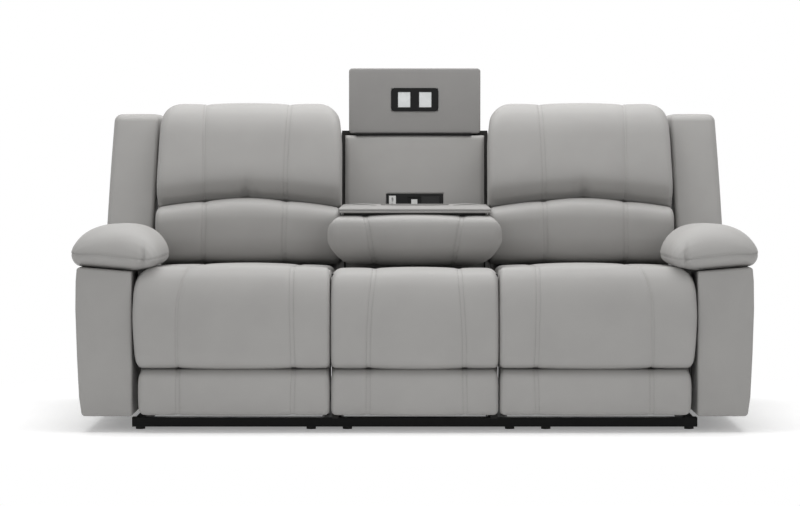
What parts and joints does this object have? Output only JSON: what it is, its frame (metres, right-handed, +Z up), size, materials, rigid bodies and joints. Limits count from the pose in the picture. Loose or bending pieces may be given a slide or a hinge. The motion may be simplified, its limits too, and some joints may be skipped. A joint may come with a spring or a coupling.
{
  "type": "sofa with drop down console",
  "caption": "Upholstered reclining sofa with padded arms, rising footrests, a middle back that folds down as a console table, and a fold-up reading-light panel.",
  "frame": {"origin": "on the floor under the middle of the sofa's outline", "axes": "+X along the sofa to the right as seen from the front, -Y the way a sitter faces, +Z up"},
  "size_m": [2.139, 0.9663, 1.156],
  "materials": {
    "upholstery": "fine-grained warm grey leather-look upholstery",
    "back_fabric": "matt grey leather-look lining of rear and recess panels",
    "plywood": "raw plywood",
    "black_steel": "black powder coat",
    "spring_steel": "drawn spring wire",
    "black_plastic": "satin black moulding",
    "grey_plastic": "dark grey moulding",
    "white_plastic": "white moulding",
    "lamp_lens": "opal diffuser, unlit",
    "rubber": "moulded foot"
  },
  "bodies": {
    "base": {"base_rails": "black_steel", "floor_glides": "rubber", "handle_bezels": "black_plastic", "seat_springs": "spring_steel", "mechanism_plates": "black_steel", "middle_seat_frame": "plywood", "middle_seat_cushion": "upholstery", "middle_upper_front_pad": "upholstery", "middle_lower_front_pad": "upholstery", "middle_back_frame": "plywood", "recess_panel": "back_fabric", "middle_rear_cover": "back_fabric", "power_housing": "black_plastic", "power_ports": "white_plastic", "power_blank_cover": "grey_plastic", "power_inlet": "black_plastic", "light_hinge_fixed_leaf": "black_steel", "console_hinge_brackets": "black_steel", "left_arm_body": "upholstery", "left_arm_frame": "plywood", "left_arm_pad": "upholstery", "left_wing": "upholstery", "left_seat_frame": "plywood", "left_seat_cushion": "upholstery", "right_arm_body": "upholstery", "right_arm_frame": "plywood", "right_arm_pad": "upholstery", "right_wing": "upholstery", "right_seat_frame": "plywood", "right_seat_cushion": "upholstery"},
    "light_switch_body": {"light_switch": "white_plastic"},
    "light_panel_body": {"light_panel": "back_fabric", "lamp_bezel": "black_plastic", "lamp_lenses": "lamp_lens", "light_hinge_moving_leaf": "black_steel"},
    "console": {"console_pad": "upholstery", "console_board": "plywood", "console_table": "upholstery", "cup_liners": "black_plastic", "console_hinge_arms": "black_steel"},
    "left_back": {"left_back_frame": "plywood", "left_lumbar_pad": "upholstery", "left_head_pad": "upholstery", "left_back_cover": "back_fabric"},
    "left_rear_link_body": {"left_rear_links": "black_steel"},
    "left_front_link_body": {"left_front_links": "black_steel"},
    "left_footrest": {"left_footrest_board": "plywood", "left_footrest_upper_pad": "upholstery", "left_footrest_lower_pad": "upholstery"},
    "left_handle": {"left_release_handle": "black_plastic"},
    "right_back": {"right_back_frame": "plywood", "right_lumbar_pad": "upholstery", "right_head_pad": "upholstery", "right_back_cover": "back_fabric"},
    "right_rear_link_body": {"right_rear_links": "black_steel"},
    "right_front_link_body": {"right_front_links": "black_steel"},
    "right_footrest": {"right_footrest_board": "plywood", "right_footrest_upper_pad": "upholstery", "right_footrest_lower_pad": "upholstery"},
    "right_handle": {"right_release_handle": "black_plastic"}
  },
  "joints": [
    {"name": "left_back_recline", "type": "hinge", "parent": "base", "child": "left_back", "pos_m": [-0.5685, 0.19, 0.33], "axis": [-1, 0, 0], "range_deg": [0, 32]},
    {"name": "left_footrest_lift", "type": "hinge", "parent": "base", "child": "left_rear_link_body", "pos_m": [-0.5685, -0.23, 0.375], "axis": [-1, 0, 0], "range_deg": [0, 82]},
    {"name": "left_front_link_swing", "type": "hinge", "parent": "left_rear_link_body", "child": "left_front_link_body", "pos_m": [-0.5685, -0.16302, 0.09284], "axis": [-1, 0, 0], "range_deg": [-94, 0]},
    {"name": "left_footrest_tilt", "type": "hinge", "parent": "left_front_link_body", "child": "left_footrest", "pos_m": [-0.5685, -0.4, 0.26], "axis": [-1, 0, 0], "range_deg": [0, 102]},
    {"name": "left_handle_pull", "type": "hinge", "parent": "base", "child": "left_handle", "pos_m": [-1.037, -0.357, 0.4], "axis": [0, 0, 1], "range_deg": [0, 30], "stiffness_Nm_per_rad": 0.3},
    {"name": "right_back_recline", "type": "hinge", "parent": "base", "child": "right_back", "pos_m": [0.5685, 0.19, 0.33], "axis": [-1, 0, 0], "range_deg": [0, 32]},
    {"name": "right_footrest_lift", "type": "hinge", "parent": "base", "child": "right_rear_link_body", "pos_m": [0.5685, -0.23, 0.375], "axis": [-1, 0, 0], "range_deg": [0, 82]},
    {"name": "right_front_link_swing", "type": "hinge", "parent": "right_rear_link_body", "child": "right_front_link_body", "pos_m": [0.5685, -0.16302, 0.09284], "axis": [-1, 0, 0], "range_deg": [-94, 0]},
    {"name": "right_footrest_tilt", "type": "hinge", "parent": "right_front_link_body", "child": "right_footrest", "pos_m": [0.5685, -0.4, 0.26], "axis": [-1, 0, 0], "range_deg": [0, 102]},
    {"name": "right_handle_pull", "type": "hinge", "parent": "base", "child": "right_handle", "pos_m": [1.037, -0.357, 0.4], "axis": [0, 0, -1], "range_deg": [0, 30], "stiffness_Nm_per_rad": 0.3},
    {"name": "console_fold", "type": "hinge", "parent": "base", "child": "console", "pos_m": [0, 0.212, 0.606], "axis": [-1, 0, 0], "range_deg": [0, 94]},
    {"name": "light_panel_fold", "type": "hinge", "parent": "base", "child": "light_panel_body", "pos_m": [0, 0.361, 0.928], "axis": [1, 0, 0], "range_deg": [0, 174]},
    {"name": "light_switch_push", "type": "slide", "parent": "base", "child": "light_switch_body", "axis": [0, 0.9945, -0.1045], "range_m": [0, 0.0025], "stiffness_N_per_m": 400}
  ],
  "couplings": [
    {"joint": "left_front_link_swing", "follows": "left_footrest_lift", "ratio": -1.1356},
    {"joint": "left_footrest_tilt", "follows": "left_footrest_lift", "ratio": 1.2323},
    {"joint": "right_front_link_swing", "follows": "right_footrest_lift", "ratio": -1.1356},
    {"joint": "right_footrest_tilt", "follows": "right_footrest_lift", "ratio": 1.2323}
  ]
}
